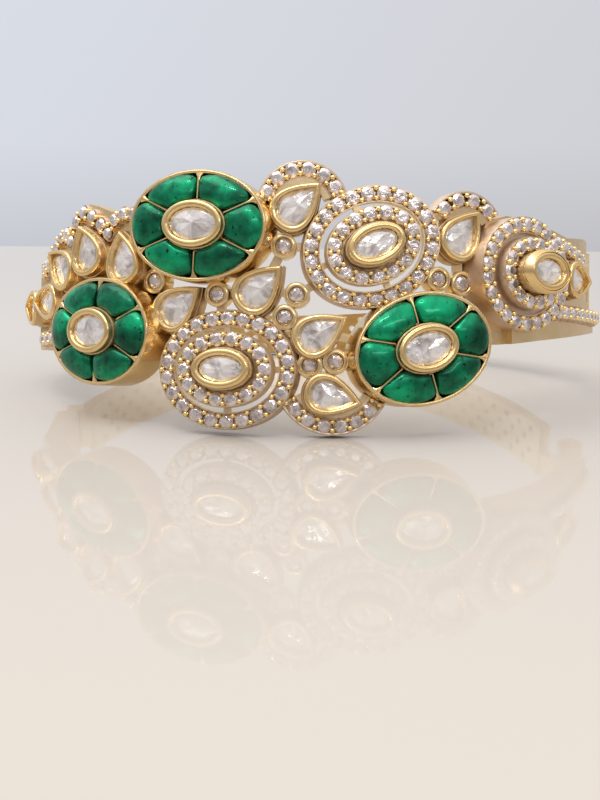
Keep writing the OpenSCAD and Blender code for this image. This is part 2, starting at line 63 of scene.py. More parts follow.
# Flowers: half length, half height, top and wall of the rim; half sizes, foot and band of
# the bezel
FLOWER_A, FLOWER_B, FLOWER_RIM, FLOWER_WALL = 7.2, 5.5, 3.9, 0.37
FLOWER_BEZEL_A, FLOWER_BEZEL_B, FLOWER_BEZEL_FOOT, FLOWER_BAND = 3.3, 2.45, 1.2, 0.82
PETALS = 6
FLOWERS = {"left": Setting(-38.4, -6.7, -4), "top": Setting(-17.4, 3.4, -3),
           "right": Setting(16.3, -8.45, 17)}

# Halos: a ring of stones, a pierced gap and a disc with a bezel on it. Half length and
# height, gap and width of the ring; floor and top of ring and disc; numbers of stones, and
# how far in the disc's row is; half height, sink and band of the bezel. A halo's lift raises
# the tops of its ring and disc, and bezel_lift raises its bezel over them.
Halo = namedtuple("Halo", "turn height spin lift a b bezel_a bezel_lift")
HALO_A, HALO_B, HALO_GAP, RING_W = 7.0, 5.9, 0.5, 1.65
RING_FLOOR, RING_TOP, DISC_FLOOR, DISC_TOP = 1.4, 2.4, 2.0, 3.5
RING_STONES, DISC_STONES, DISC_ROW_IN = 22, 14, 0.8
HALO_BEZEL_B, HALO_BEZEL_SINK, HALO_BAND = 2.1, 0.3, 0.8
HALOS = {"left": Halo(-13, -10.65, 0, 0, HALO_A, HALO_B, 3.05, 0),
         "right": Halo(8.8, 1.5, 23, 0, HALO_A, HALO_B, 3.05, 0),
         "side": Halo(38.3, -0.4, 0, 1.1, HALO_A - 0.6, HALO_B - 0.05, 2.85, 0.8)}

# Pears: the spin is that of the tip. An outline that grows by 1 all round grows in length by
# PEAR_TIP. The stone is PEAR_EDGE inside the setting, under a band of width PEAR_BAND, and
# collar, stone and top are heights over the setting's base.
Pear = namedtuple("Pear", "name turn height spin length width base face")
PEARS = [Pear(*row) for row in (
    ("pear_top", -2.4, 5.5, 44, 6.2, 4.6, 0.4, 0),
    ("pear_high_left", -21.9, -4.3, 36, 6.1, 4.6, 0.4, 0),
    ("pear_centre", -8, -2.6, 44, 6.2, 4.6, 0.4, 0),
    ("pear_mid", 1.2, -7, 32, 6.1, 4.4, 0.4, 0),
    ("pear_low", 3.1, -13.2, -14, 6.1, 4.3, 0.4, 0),
    ("pear_high_right", 24.8, 3.2, 54, 6.1, 4.6, 0.4, 0),
    ("pear_arm_1", -33.6, 0.7, 97, 5.8, 4.6, 1, 0),
    ("pear_arm_2", -44.5, 1.9, 109, 5.8, 4.7, 1, 7),
    ("pear_arm_3", -53.3, 0.6, 143, 6, 4.5, 1, 3),
    ("pear_arm_4", -60.9, -2.9, 176, 6, 4.2, 1, 7),
    ("pear_arm_5", -76.6, -2.9, 173, 6, 4.3, 1, 10.5),
    ("pear_end", 58.8, -0.1, 0, 5.2, 4.3, 1, -7.5))]
PEAR_TIP, PEAR_EDGE, PEAR_BAND = 2.3, 0.62, 0.66
PEAR_COLLAR, PEAR_STONE, PEAR_TOP = 1.52, 1.75, 2.42

# Round settings: turn and height
ROUNDS = [(-4.6, 1.5), (-2.5, -3.3), (-4.3, -5.5), (-0.4, -10.2), (3.5, -9.8),
          (-14.9, -3.2), (-27.6, -1.7), (20.3, -1.4), (25.2, -1.7)]

# Crests: an arc of stones about a place, from a first angle on by equal steps; height of the
# metal face, and how far its ends and its last beads are beyond the last stones, in degrees
Crest = namedtuple("Crest", "turn height radius first step count")
CRESTS = [Crest(-1.8, 5.4, 3.65, 157, -25.2, 6), Crest(3.2, -11.2, 4.9, 222, 19, 6),
          Crest(26.4, 3.1, 3.65, 134.9, -29, 4)]
CREST_FACE, CREST_END, CREST_LAST_BEAD = 1.8, 14.3, 11.5

# Pave rows of the arms: turn and height of each stone, height of the metal face
LEFT_LOW = ([(-54.8 - i * 3.05, -6.9) for i in range(4)], 2.75)
LEFT_TOP = ([(-33.3, 5.3), (-35.8, 5.4), (-38.2, 4.9), (-40.1, 3.6), (-42.3, 4.6), (-45.2, 5.6),
             (-48.2, 6.2), (-50.9, 5.4), (-53.2, 3.4), (-55, 4.3), (-57.8, 4.1), (-60.8, 3.3),
             (-63.6, 2.4), (-66.6, 1.6), (-69.8, 1.3), (-73, 1)], 1.85)
RIGHT_TOP = ([(51.2 + i * 2.7, 3.6 - 0.25 * i) for i in range(6)], 2.35)
RIGHT_LOW = ([(48.8 + i * 2.7, -3.9 + 0.02 * i) for i in range(9)], 3.25)
ARM_ROWS = {"pave_left_arm": (LEFT_LOW, LEFT_TOP), "pave_right_arm": (RIGHT_TOP, RIGHT_LOW)}

# Small stones and the beads that hold them: radii, heights over the metal face, and depths
# of the beads' feet under it
PAVE_R, ARM_R, ROUND_R, BEAD_R = 0.75, 0.68, 0.78, 0.26
STONE_RISE, BEAD_RISE, ARM_BEAD_RISE = 0.02, 0.16, 0.14
HALO_FOOT, CREST_FOOT, ARM_FOOT = 0.5, 0.6, 0.9
BEAD_SIDES, BEAD_STEPS = 10, 3
PAIR = (-0.42, 0.42)

# Cut of a small stone: sides, share of the radius, height and turn of each ring of corners
CUT = [(16, 1, -0.05, 0), (16, 1, 0.02, 0), (8, 0.8, 0.186, 0.5), (8, 0.56, 0.3, 0)]
CUT_BACK = 0.5

# Flat stones: share of the outline and height, from the back to the edge of the top
STONE_LEVELS = [(0.8, -0.5), (1, -0.05), (0.98, 0.02), (0.82, 0.14)]
# Fan of facets on the top: share of the outline and height of its middle ring, how much and
# how fast each varies, and where its centre is
FAN_SHARE, FAN_SHARE_VARY, FAN_SHARE_WAVE = 0.5, 0.12, 5.1
FAN_HIGH, FAN_HIGH_VARY, FAN_HIGH_WAVE = 0.08, 0.06, 3.7
FAN_X, FAN_Y, FAN_CENTRE = 0.15, 0.1, 0.13

# Oval bezels over the face they stand on: collar, top and stone, and the stone's inset
BEZEL_COLLAR, BEZEL_TOP, BEZEL_STONE, STONE_IN = 0.72, 1.42, 0.95, 0.8


# Places
def arc(turn):
    # centre and radius of the band's arc at this turn
    if abs(turn) <= math.degrees(SEAM):
        return 0.0, FRONT_R - INNER_B, FRONT_R
    return math.copysign(INNER_A - END_R, turn), 0.0, END_R


def at_rest(x, y, z):
    # a point of the upright bangle, moved to where it rests on the table
    c, s = math.cos(TILT), math.sin(TILT)
    return Vector((x - CENTRE_X, y * c + z * s - CENTRE_Y, -y * s + z * c + REST_Z))


def placed(s, x, y, z):
    # a point of a setting's own frame: x along the band, y up, z out of the band
    centre_x, centre_y, radius = arc(s.turn)
    turn = math.radians(s.turn)
    face = turn + math.radians(s.face)
    spin = math.radians(s.spin)
    u = x * math.cos(spin) - y * math.sin(spin)
    v = x * math.sin(spin) + y * math.cos(spin)
    out_x = centre_x + radius * math.sin(turn) + z * math.sin(face)
    out_y = centre_y - radius * math.cos(turn) - z * math.cos(face)
    return at_rest(out_x + u * math.cos(face), out_y + u * math.sin(face), s.height + v)


# Outlines: lists of x, y in a setting's own frame
def oval(a, b, n=56):
    return [(a * math.cos(i * math.tau / n), b * math.sin(i * math.tau / n)) for i in range(n)]


def pear(length, width, n=48):
    # round at -x and pointed at +x; peak is the curve's greatest half width before scaling
    peak = 0.77
    out = []
    for i in range(n):
        x = math.cos(i * math.tau / n)
        y = width / 2 / peak * (1 - x) * math.sqrt(max(0.0, (1 + x) / 2))
        out.append((length / 2 * x, math.copysign(y, math.sin(i * math.tau / n))))
    return out


def spaced(t, a, b):
    # even spacing along an ellipse, to first order
    return t + (a - b) / (a + b) * math.sin(2 * t) / 2


def grid(rows, n, closed=False, wrap=True):
    # faces between rows of n points each
    faces = []
    for r in range(rows if closed else rows - 1):
        a, b = r * n, (r + 1) % rows * n
        for i in range(n if wrap else n - 1):
            j = (i + 1) % n
            faces.append([a + i, a + j, b + j, b + i])
    return faces


# Mesh building: a piece is a list of points and faces, with a kind of material for each face
class Build:
    def __init__(self):
        self.verts, self.faces, self.kinds = [], [], []

    def add(self, points, faces, kind=0):
        k = len(self.verts)
        self.verts += points
        self.faces += [[k + i for i in f] for f in faces]
        self.kinds += [kind] * len(faces)

    def tip(self, point, n):
        # closes the last loop of n points with a fan to one more point
        k = len(self.verts)
        self.verts.append(point)
        self.faces += [[k - n + i, k - n + (i + 1) % n, k] for i in range(n)]
        self.kinds += [0] * n

    def loops(self, s, loops, closed=False, cap=(False, False), kind=0, wrap=True, walls=0):
        # loops of (outline, height); the first rows of faces, as many as walls, are kind 1
        n, rows = len(loops[0][0]), len(loops)
        faces = grid(rows, n, closed, wrap)
        if cap[0]:
            faces.append(list(range(n))[::-1])
        if cap[1]:
            faces.append([(rows - 1) * n + i for i in range(n)])
        if not wrap:
            faces.append([r * n for r in range(rows)])
            faces.append([r * n + n - 1 for r in range(rows)][::-1])
        self.add([placed(s, x, y, z) for outline, z in loops for x, y in outline], faces, kind)
        first = len(self.kinds) - len(faces)
        self.kinds[first:first + walls * n] = [1] * (walls * n)

    def bead(self, s, x, y, z, foot):
        # a prong: a short post from its foot to height z, and a round head over that
        def circle(r):
            return [(x + px, y + py) for px, py in oval(r, r, BEAD_SIDES)]
        loops = [(circle(BEAD_R), foot)]
        for j in range(BEAD_STEPS):
            t = math.pi / 2 * j / BEAD_STEPS
            loops.append((circle(BEAD_R * math.cos(t)), z + BEAD_R * math.sin(t)))
        self.loops(s, loops, cap=(True, False))
        self.tip(placed(s, x, y, z + BEAD_R), BEAD_SIDES)

    def brilliant(self, s, x, y, z, r, turn=0.0):
        # two rings of the girdle, a ring of stars, the table, and a pointed back
        pts = []
        for sides, share, high, off in CUT:
            for i in range(sides):
                t = turn + (i + off) * math.tau / sides
                pts.append(placed(s, x + r * share * math.cos(t), y + r * share * math.sin(t), z + high))
        pts.append(placed(s, x, y, z - CUT_BACK))
        girdle, star, table, back = 16, 32, 40, 48
        faces = []
        for i in range(16):
            j = (i + 1) % 16
            faces += [[i, j, girdle + j, girdle + i], [j, i, back]]
        for i in range(8):
            j = (i + 1) % 8
            g0, g1, g2 = girdle + 2 * i, girdle + 2 * i + 1, girdle + (2 * i + 2) % 16
            faces += [[g0, g1, star + i], [g1, g2, star + i], [star + i, g2, star + j],
                      [star + i, star + j, table + j], [table + i, star + i, table + j]]
        faces.append([table + i for i in range(8)])
        self.add(pts, faces)


def mesh(name, build, materials, body="front", smooth=40, replaces=()):
    data = bpy.data.meshes.new(name)
    data.from_pydata([p / 1000 for p in build.verts], [], build.faces)
    for m in materials:
        data.materials.append(m)
    data.polygons.foreach_set("material_index", build.kinds)
    bm = bmesh.new()
    bm.from_mesh(data)
    bmesh.ops.recalc_face_normals(bm, faces=bm.faces)
    bm.to_mesh(data)
    bm.free()
    if smooth:
        data.shade_smooth()
        data.set_sharp_from_angle(angle=math.radians(smooth))
    obj = bpy.data.objects.new(name, data)
    bpy.context.scene.collection.objects.link(obj)
    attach(obj, body)
    if replaces:
        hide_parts(*replaces)
    return obj


# Shader nodes
def new_material(name, values):
    # values are the shader's inputs that don't keep their defaults
    material = bpy.data.materials.new(name)
    material.use_nodes = True
    tree = material.node_tree
    shader = tree.nodes["Principled BSDF"]
    for key, value in values.items():
        shader.inputs[key].default_value = value
    return material, tree, shader


def ramp(tree, stops, source):
    # a colour ramp over a value; a stop is a position and a colour
    node = tree.nodes.new("ShaderNodeValToRGB")
    while len(node.color_ramp.elements) < len(stops):
        node.color_ramp.elements.new(0.5)
    for element, (position, colour) in zip(node.color_ramp.elements, stops):
        element.position = position
        element.color = (*colour, 1)
    tree.links.new(source, node.inputs["Fac"])
    return node.outputs["Color"]


def noise(tree, scale, detail, rough, streaks=0.0):
    place = tree.nodes.new("ShaderNodeTexCoord")
    node = tree.nodes.new("ShaderNodeTexNoise")
    node.inputs["Scale"].default_value = scale
    node.inputs["Detail"].default_value = detail
    node.inputs["Roughness"].default_value = rough
    node.inputs["Distortion"].default_value = streaks
    tree.links.new(place.outputs["Object"], node.inputs["Vector"])
    return node.outputs["Fac"]


def bump(tree, shader, source, strength, distance):
    node = tree.nodes.new("ShaderNodeBump")
    node.inputs["Strength"].default_value = strength
    node.inputs["Distance"].default_value = distance
    tree.links.new(source, node.inputs["Height"])
    tree.links.new(node.outputs["Normal"], shader.inputs["Normal"])


def mixed(tree, a, b, blend="MIX", factor=None):
    # two colours, wholly blended where no factor is given
    node = tree.nodes.new("ShaderNodeMix")
    node.data_type = "RGBA"
    node.blend_type = blend
    if factor is None:
        node.inputs["Factor"].default_value = 1
    else:
        tree.links.new(factor, node.inputs["Factor"])
    tree.links.new(a, node.inputs["A"])
    tree.links.new(b, node.inputs["B"])
    return node.outputs["Result"]


# Materials
def gold(name, light, deep, rough):
    # cast gold: soft patches of two tones and a fine grain
    material, tree, shader = new_material(name, {"Metallic": 1, "Roughness": rough})
    patches = noise(tree, scale=320, detail=3, rough=0.6)
    tone = ramp(tree, [(0.3, deep), (0.7, light)], patches)
    tree.links.new(tone, shader.inputs["Base Color"])
    grain = noise(tree, scale=1500, detail=2, rough=0.5)
    bump(tree, shader, grain, strength=0.12, distance=0.0002)
    return material


def green_glass():
    # foil backed glass: a green mirror under a clear coat, cloudy, with black specks
    material, tree, shader = new_material("green_glass", {
        "Metallic": 0.65, "Roughness": 0.3, "Specular IOR Level": 0.0, "IOR": 1.52,
        "Coat Weight": 0.4, "Coat Roughness": 0.02})
    cloud = noise(tree, scale=260, detail=4, rough=0.6)
    body = ramp(tree, [(0.36, (0.0, 0.05, 0.024)), (0.5, (0.0, 0.155, 0.07)),
                       (0.64, (0.0, 0.36, 0.15))], cloud)
    specks = noise(tree, scale=2400, detail=2, rough=0.5)
    dots = ramp(tree, [(0.3, (0.05, 0.05, 0.05)), (0.35, (1, 1, 1))], specks)
    tree.links.new(mixed(tree, body, dots, "MULTIPLY"), shader.inputs["Base Color"])
    return material


def clear_stone(name, light, deep, rough, scale, metal, streaks=0.0):
    # foil backed clear stone: light and dark patches under a clear coat
    material, tree, shader = new_material(name, {
        "Metallic": metal, "Roughness": rough, "Coat Weight": 0.8, "Coat Roughness": 0.02})
    patches = noise(tree, scale=scale, detail=4, rough=0.6, streaks=streaks)
    tone = ramp(tree, [(0.32, deep), (0.56, light)], patches)
    tree.links.new(tone, shader.inputs["Base Color"])
    bump(tree, shader, patches, strength=0.3, distance=0.0003)
    return material


GOLD = gold("gold", light=(0.86, 0.63, 0.3), deep=(0.74, 0.52, 0.23), rough=0.2)
# a darker copy of the gold for the outer walls of the bezels: painted shade
WALL_SHADE = gold("gold_wall_painted_shade", light=(0.66, 0.48, 0.27), deep=(0.56, 0.4, 0.22), rough=0.4)
GOLD_SOFT = gold("gold_soft", light=(0.78, 0.59, 0.35), deep=(0.66, 0.49, 0.27), rough=0.36)
# a brighter copy of the gold for the beads: painted light
BRIGHT_LIT = gold("gold_bead_painted_light", light=(1.0, 0.78, 0.38), deep=(0.94, 0.68, 0.28), rough=0.16)
# a paler, pinkish copy of the gold for the thin walls of the halos and crests: painted reflection
PALE_REFLECTION = gold("pale_wall_painted_reflection", light=(0.76, 0.6, 0.46), deep=(0.64, 0.5, 0.38), rough=0.46)
# a dimmer copy of the gold for the beds under and between the stones: painted shade
DIM_SHADE = gold("stone_bed_painted_shade", light=(0.66, 0.52, 0.41), deep=(0.52, 0.4, 0.31), rough=0.46)
GREEN = green_glass()
FLAT = clear_stone("flat_stone", light=(0.92, 0.86, 0.82), deep=(0.42, 0.37, 0.34), rough=0.07,
                   scale=420, metal=0.6, streaks=1.6)
SPARK = clear_stone("pave_stone", light=(0.78, 0.69, 0.66), deep=(0.34, 0.28, 0.26), rough=0.05,
                    scale=1300, metal=0.8)

for name in ("front_frame", "back_band", "hinge_pin"):
    for slot in NODES[name].material_slots:
        slot.material = GOLD_SOFT if name == "front_frame" else GOLD


# Trim of the frame: all bezels are one piece, and so are the rims, the beads and the beds.
# outline(off) is a loop pushed out by off; trim is TRIM_OUT outside the metal that it
# covers, and the small steps of its profiles round its edges off.
bezels, rims, beads, seats = Build(), Build(), Build(), Build()
TRIM_OUT = 0.02


def bezel(s, outline, base, collar, top, width):
    # a wall with a narrow collar, and on it a broad softly domed band round the stone; a
    # wider band has a wider collar
    step = 0.05 + width * 0.12
    wall = [(TRIM_OUT, base), (TRIM_OUT, collar - 0.1), (-0.03, collar), (-step + 0.02, collar + 0.02),
            (-step, collar + 0.08)]
    band = [(-step, top - 0.18), (-step - 0.04, top - 0.06), (-step - 0.13, top + 0.01),
            (-(step + width) / 2, top + 0.05), (-width + 0.14, top + 0.02),
            (-width + 0.05, top - 0.03), (-width, top - 0.16), (-width, collar - 0.3)]
    # the wall's rows of faces take the bezels' second material, the darker gold of painted shade
    bezels.loops(s, [(outline(off), z) for off, z in wall + band], walls=len(wall))


def skirt(s, a, b, top, reach, drop, n=56):
    # a band that slopes down from a bezel's top, broadest and lowest towards the setting's -x;
    # the profile gives the share of its way out and a small lift
    profile = [(0.0, 0.0), (0.15, 0.05), (0.85, 0.05), (1.0, -0.05), (0.9, -0.25), (0.0, -0.3)]
    inset, band = 0.15, 0.17
    pts = []
    for share, lift in profile:
        for i in range(n):
            t = math.tau * i / n
            k = (1 - math.cos(t)) / 2
            off = -inset + share * (band + reach * k)
            pts.append(placed(s, (a + off) * math.cos(t), (b + off) * math.sin(t),
                              top + lift - share * drop * k))
    bezels.add(pts, grid(len(profile), n, closed=True))


def rim(s, outline, low, top, width, kind=0, side=1):
    # a thin wall with a rounded top edge; side -1 turns it to face inwards
    profile = [(TRIM_OUT, low), (TRIM_OUT, top - 0.2), (-0.02, top - 0.04), (-width * 0.3, top + 0.03),
               (-width * 0.7, top + 0.03), (-width + 0.02, top - 0.04), (-width, top - 0.16),
               (-width, low)]
    rims.loops(s, [(outline(side * off), z) for off, z in profile], closed=True, kind=kind)


def seat(s, a, b, z, half, n):
    # a low bed of metal under a ring of stones
    deep = 0.3
    outer, inner = oval(a + half, b + half, n), oval(a - half, b - half, n)
    # the bed is in the dimmer gold, painted shade
    seats.loops(s, [(outer, z - deep), (outer, z), (inner, z), (inner, z - deep)], closed=True)


def flat_stone(b, s, outline, z, seed):
    # the top is a shallow fan of uneven facets about a place off the middle, as on an old
    # flat cut stone; seed makes each stone's facets its own
    n = len(outline)
    b.loops(s, [([(x * k, y * k) for x, y in outline], z + h) for k, h in STONE_LEVELS],
            cap=(True, False))
    edge = len(b.verts) - n
    top = z + STONE_LEVELS[-1][1]
    half = n // 2
    inner = len(b.verts)
    for i in range(half):
        x, y = outline[2 * i]
        k = FAN_SHARE + FAN_SHARE_VARY * math.sin(FAN_SHARE_WAVE * i + seed)
        high = FAN_HIGH + FAN_HIGH_VARY * math.sin(FAN_HIGH_WAVE * i + 2 * seed)
        b.verts.append(placed(s, x * k, y * k, top + high))
    b.verts.append(placed(s, FAN_X * math.cos(seed), FAN_Y * math.sin(seed), top + FAN_CENTRE))
    for i in range(half):
        j = (i + 1) % half
        e0, e1, e2 = edge + 2 * i, edge + 2 * i + 1, edge + (2 * i + 2) % n
        b.faces += [[e0, e1, inner + i], [e1, inner + j, inner + i], [e1, e2, inner + j],
                    [inner + i, inner + j, inner + half]]
        b.kinds += [0] * 4


def oval_bezel(s, name, a, b, foot, face, width):
    # a raised bezel with a flat oval stone in it, on a face of the setting
    one = Build()
    flat_stone(one, s, oval(a - STONE_IN, b - STONE_IN, n=16), face + BEZEL_STONE, s.turn)
    mesh("cut_" + name, one, [FLAT], smooth=0, replaces=["stone_" + name])
    bezel(s, lambda off: oval(a + off, b + off), foot, face + BEZEL_COLLAR, face + BEZEL_TOP, width)


# Petals: share of the outline and height of each loop, and the top of the dome; powers of
# the outline's corners, square by the bezel and rounder by the rim; gaps to the metal
PETAL = [(1.0, 1.35), (1.0, 3.55), (1.03, 3.75), (1.06, 3.92), (1.075, 4.06), (1.07, 4.2),
         (1.04, 4.34), (0.97, 4.48), (0.86, 4.6), (0.7, 4.7), (0.5, 4.76), (0.27, 4.795)]
PETAL_TOP, PETAL_SIDES, PETAL_STEP = 4.8, 56, 360 / PETALS
INNER_CORNER, OUTER_CORNER = 6, 3.4
BEZEL_GAP, RIM_GAP, SPOKE_GAP = 0.05, 0.42, 0.25
# The dome leans: it is raised by the bezel and drops towards the rim
LEAN_FROM, LEAN_IN, LEAN_OUT = 3.6, 0.14, 0.46


def petal(s, index):
    inner_a, inner_b = FLOWER_BEZEL_A + BEZEL_GAP, FLOWER_BEZEL_B + BEZEL_GAP
    outer_a, outer_b = FLOWER_A - RIM_GAP, FLOWER_B - RIM_GAP

    def point(u, f, z):
        # u runs round the flower from spoke to spoke, f outwards from bezel to rim
        a = inner_a + f * (outer_a - inner_a)
        b = inner_b + f * (outer_b - inner_b)
        r = FLOWER_BEZEL_B + f * (FLOWER_B - FLOWER_BEZEL_B)
        gap = math.degrees(SPOKE_GAP / r)
        t = math.radians(90 + PETAL_STEP * index + gap + u * (PETAL_STEP - 2 * gap))
        lean = LEAN_IN - LEAN_OUT * f * f if z > LEAN_FROM else 0
        return placed(s, a * math.cos(t), b * math.sin(t), z + lean)

    pts = []
    for share, z in PETAL:
        for i in range(PETAL_SIDES):
            t = math.tau * i / PETAL_SIDES
            c, d = math.cos(t), math.sin(t)
            power = OUTER_CORNER if d > 0 else INNER_CORNER
            e = (abs(c) ** power + abs(d) ** power) ** (-1 / power) * share
            pts.append(point(0.5 + 0.5 * e * c, 0.5 + 0.5 * e * d, z))
    build = Build()
    build.add(pts, [list(range(PETAL_SIDES))[::-1]] + grid(len(PETAL), PETAL_SIDES))
    build.tip(point(0.5, 0.5, PETAL_TOP), PETAL_SIDES)
    return build


# Spokes: where they start, half width, foot, top, and depth of their sloping edges; the wedge
# at the rim is given as distance from the rim, growth of the half width and height
SPOKE_START, SPOKE_HALF, SPOKE_FOOT, SPOKE_TOP, SPOKE_ROUND = 2.6, 0.13, 3.0, 4.1, 0.1
WEDGE = [(1.3, 1, SPOKE_TOP), (0.75, 1.5, 4.02), (0.3, 3.6, FLOWER_RIM)]


def spoke(s, index):
    t = math.radians(90 + PETAL_STEP * index)
    x, y = FLOWER_A * math.cos(t), FLOWER_B * math.sin(t)
    end = math.hypot(x, y)
    c, d = x / end, y / end
    stations = [(SPOKE_START, SPOKE_HALF, SPOKE_TOP)]
    stations += [(end - back, SPOKE_HALF * growth, z) for back, growth, z in WEDGE]
    pts = []
    for r, half, z in stations:
        section = [(-half, SPOKE_FOOT), (-half, z - SPOKE_ROUND), (-half * 0.5, z), (half * 0.5, z),
                   (half, z - SPOKE_ROUND), (half, SPOKE_FOOT)]
        pts += [placed(s, r * c - off * d, r * d + off * c, h) for off, h in section]
    sides = len(section)
    last = len(pts) - sides
    ends = [list(range(sides))[::-1], list(range(last, last + sides))]
    rims.add(pts, grid(len(stations), sides) + ends)


def flower(key, s):
    # rim, spokes and domed petals round a raised stone
    rim(s, lambda off: oval(FLOWER_A + off, FLOWER_B + off, n=80), SOLE, FLOWER_RIM, FLOWER_WALL)
    for i in range(PETALS):
        spoke(s, i)
        mesh("petal_%s_%d" % (key, i + 1), petal(s, i), [GREEN], smooth=60,
             replaces=["green_%s_%d" % (key, i + 1)])
    oval_bezel(s, "green_" + key, FLOWER_BEZEL_A, FLOWER_BEZEL_B, foot=FLOWER_BEZEL_FOOT,
               face=FLOWER_RIM, width=FLOWER_BAND)


# Halos: thin edges of the ring and disc, depths and half widths of the beds under the
# stones and in the side halo's gap, and places of the beads across a row
EDGE_W, EDGE_DROP = 0.13, 0.06
BED_DROP, GAP_DROP, RING_BED, DISC_BED, GAP_BED = 0.24, 0.35, 0.7, 0.66, HALO_GAP / 2 + 0.04
RING_PAIR, DISC_PAIR = (-0.49, 0.49), (-0.38, 0.42)


def halo_edge(s, a, b, low, top, n, side=1):
    # the whole edge is in the paler gold, painted reflection
    rim(s, lambda off: oval(a + off, b + off, n), low, top - EDGE_DROP, EDGE_W, kind=1, side=side)


def pave_ring(stones, s, a, b, face, count, first, pair):
    # stones along an ellipse, and a pair of beads between neighbours; first is the place of
    # the first stone, in steps
    for i in range(count):
        t = spaced((i + first) * math.tau / count, a, b)
        stones.brilliant(s, a * math.cos(t), b * math.sin(t), face + STONE_RISE, PAVE_R, turn=t)
        t = spaced((i + 0.5 - first) * math.tau / count, a, b)
        for off in pair:
            beads.bead(s, (a + off) * math.cos(t), (b + off) * math.sin(t), face + BEAD_RISE,
                       face - HALO_FOOT)


def halo(key, h):
    s = Setting(h.turn, h.height, h.spin)
    ring_top, disc_top = RING_TOP + h.lift, DISC_TOP + h.lift
    row_a, row_b = h.a - RING_W / 2, h.b - RING_W / 2
    hole_a, hole_b = h.a - RING_W, h.b - RING_W
    disc_a, disc_b = hole_a - HALO_GAP, hole_b - HALO_GAP
    disc_row_a, disc_row_b = disc_a - DISC_ROW_IN, disc_b - DISC_ROW_IN
    halo_edge(s, h.a, h.b, SOLE, ring_top, n=80)
    halo_edge(s, hole_a, hole_b, RING_FLOOR, ring_top, n=72, side=-1)
    halo_edge(s, disc_a, disc_b, DISC_FLOOR, disc_top, n=64)
    seat(s, row_a, row_b, ring_top - BED_DROP, RING_BED, n=64)
    seat(s, disc_row_a, disc_row_b, disc_top - BED_DROP, DISC_BED, n=56)
    stones = Build()
    pave_ring(stones, s, row_a, row_b, ring_top, RING_STONES, 0.5, RING_PAIR)
    # the lifted disc of the side halo has its stones a little further out
    further = h.lift / 9
    pave_ring(stones, s, disc_row_a + further, disc_row_b, disc_top, DISC_STONES, 0, DISC_PAIR)
    mesh("cut_pave_halo_" + key, stones, [SPARK], smooth=0,
         replaces=["pave_halo_" + key])
    face = disc_top + h.bezel_lift
    oval_bezel(s, "halo_" + key, h.bezel_a, HALO_BEZEL_B, foot=disc_top - HALO_BEZEL_SINK,
               face=face, width=HALO_BAND)
    if key == "side":
        skirt(s, h.bezel_a, HALO_BEZEL_B, face + BEZEL_TOP, reach=0.3, drop=0.85)
        seat(s, disc_a + HALO_GAP / 2, disc_b + HALO_GAP / 2, ring_top - GAP_DROP, GAP_BED, n=64)


def pear_setting(p):
    s = Setting(p.turn, p.height, p.spin, p.face)
    one = Build()
    inner = pear(p.length - PEAR_TIP * PEAR_EDGE, p.width - 2 * PEAR_EDGE, n=18)
    flat_stone(one, s, inner, p.base + PEAR_STONE, p.turn)
    mesh("cut_" + p.name, one, [FLAT], smooth=0, replaces=[p.name])
    bezel(s, lambda off: pear(p.length + PEAR_TIP * off, p.width + 2 * off), p.base,
          p.base + PEAR_COLLAR, p.base + PEAR_TOP, PEAR_BAND)


def round_settings():
    # radius and height of the bezel's loops
    profile = [(1.27, 0.4), (1.27, 1.85), (1.22, 2.03), (1.1, 2.13), (0.96, 2.15), (0.85, 2.06),
               (0.8, 1.9), (0.8, 1.4)]
    stone = 1.95
    one = Build()
    for turn, height in ROUNDS:
        s = Setting(turn, height)
        one.brilliant(s, 0, 0, stone, ROUND_R)
        bezels.loops(s, [(oval(r, r, n=36), z) for r, z in profile])
    mesh("cut_rounds", one, [SPARK], smooth=0, replaces=["round_stones"])


# Walls of a crest: how far they stand from its arc, and their profile
CREST_WALLS = (0.9, -0.66)
CREST_PROFILE = [(TRIM_OUT, SOLE), (TRIM_OUT, 1.66), (-0.03, 1.79), (-0.1, 1.83), (-0.19, 1.8),
                 (-0.24, 1.66), (-0.24, SOLE)]


def crest_wall(s, radius, start, end, n=40):
    # a bar along an arc about the setting's centre, closed at both ends
    turns = [math.radians(start + (end - start) * i / n) for i in range(n + 1)]
    loops = [([((radius + off) * math.cos(t), (radius + off) * math.sin(t)) for t in turns], z)
             for off, z in CREST_PROFILE]
    # the whole bar is in the paler gold, painted reflection
    rims.loops(s, loops, closed=True, wrap=False, kind=1)


def crest(stones, c):
    s = Setting(c.turn, c.height)
    last = c.first + c.step * (c.count - 1)
    for off in CREST_WALLS:
        crest_wall(s, c.radius + off, min(c.first, last) - CREST_END, max(c.first, last) + CREST_END)
    for i in range(c.count):
        t = math.radians(c.first + c.step * i)
        stones.brilliant(s, c.radius * math.cos(t), c.radius * math.sin(t), CREST_FACE + STONE_RISE,
                         PAVE_R, turn=t)
    beyond = math.copysign(CREST_LAST_BEAD, c.step)
    between = [c.first + c.step * (i - 0.5) for i in range(1, c.count)]
    for angle in [c.first - beyond] + between + [last + beyond]:
        t = math.radians(angle)
        for off in PAIR:
            r = c.radius + off
            beads.bead(s, r * math.cos(t), r * math.sin(t), CREST_FACE + BEAD_RISE,
                       CREST_FACE - CREST_FOOT)


# Bed under each stone of the arms: radius, and height over the metal face
CUP = [(0.9, -0.75), (0.88, -0.25), (0.82, -0.14), (0.5, -0.14)]


